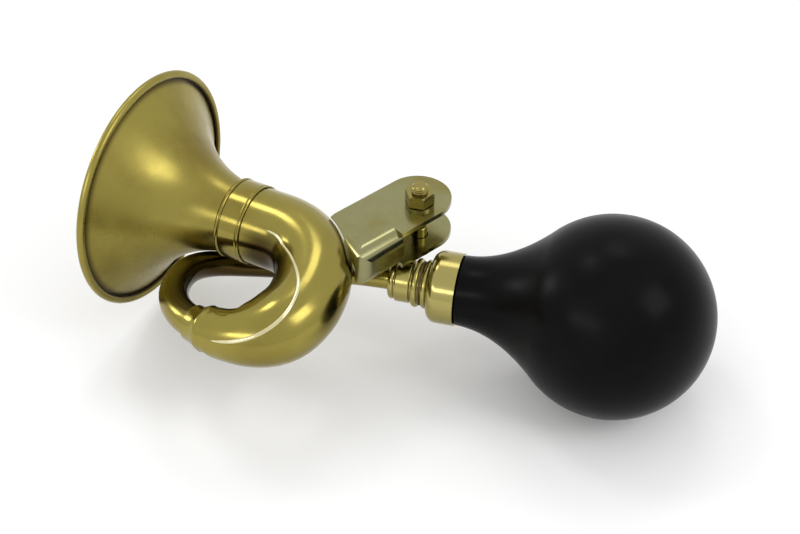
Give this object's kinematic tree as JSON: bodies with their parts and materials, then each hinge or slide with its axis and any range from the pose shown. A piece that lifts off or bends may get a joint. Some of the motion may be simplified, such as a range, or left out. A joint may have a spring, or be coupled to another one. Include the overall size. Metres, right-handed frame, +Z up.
{
  "type": "bulb horn",
  "caption": "Brass bulb horn: flared bell, one loop of stepped tube, beaded reed socket, black rubber squeeze bulb and a two-eared clamp bracket with a through bolt",
  "frame": {"origin": "middle of the clamp jaw, on the axis of the clamp bolt", "axes": "+X runs along the reed axis from the bell end to the bulb end, +Z is up along the clamp bolt and square to the loop, +Y points away from the loop"},
  "size_m": [0.1904, 0.0982, 0.0837],
  "materials": {
    "lacquered_brass": "satin spun brass under clear lacquer",
    "turned_brass": "bright turned brass",
    "spring_brass": "thin hard-rolled strip",
    "steel_wire": "drawn wire, hidden in the rolled rim",
    "plated_steel": "pressed steel, pale yellow passivated zinc",
    "yellow_plated_steel": "yellow passivated zinc",
    "leather": "oiled sealing leather",
    "black_rubber": "satin moulded rubber"
  },
  "bodies": {
    "horn": {"bell": "lacquered_brass", "rim_wire": "steel_wire", "bell_ferrule": "lacquered_brass", "large_loop_tube": "lacquered_brass", "loop_joint_sleeve": "lacquered_brass", "small_loop_tube": "lacquered_brass", "reed_socket": "turned_brass", "sealing_washer": "leather", "reed_plug": "turned_brass", "reed_shallot": "turned_brass", "reed_wedge": "turned_brass", "bracket": "plated_steel", "clamp_washers": "yellow_plated_steel"},
    "reed tongue": {"reed_tongue": "spring_brass"},
    "bulb cap": {"screw_cap": "turned_brass", "bulb_collar": "lacquered_brass", "bulb_nipple": "turned_brass"},
    "bulb": {"rubber_bulb": "black_rubber"},
    "bolt": {"clamp_bolt": "yellow_plated_steel"},
    "nut": {"clamp_nut": "yellow_plated_steel"}
  },
  "joints": [
    {"name": "cap_unscrew", "type": "hinge", "parent": "horn", "child": "bulb cap", "pos_m": [0.0046, -0.0113, -0.0153], "axis": [1, 0, 0], "continuous": true},
    {"name": "bulb_squeeze", "type": "slide", "parent": "bulb cap", "child": "bulb", "axis": [0, 0, -1], "range_m": [0, 0.014], "stiffness_N_per_m": 900, "deforming": ["rubber_bulb"]},
    {"name": "tongue_beat", "type": "hinge", "parent": "horn", "child": "reed tongue", "pos_m": [0.0119, -0.0113, -0.01327], "axis": [0, 1, 0], "range_deg": [-1.5, 1.9], "stiffness_Nm_per_rad": 0.01},
    {"name": "bolt_turn", "type": "hinge", "parent": "horn", "child": "bolt", "pos_m": [0, 0, 0], "axis": [0, 0, 1], "continuous": true},
    {"name": "nut_turn", "type": "hinge", "parent": "horn", "child": "nut", "pos_m": [0, 0, 0.0096], "axis": [0, 0, 1], "continuous": true}
  ]
}
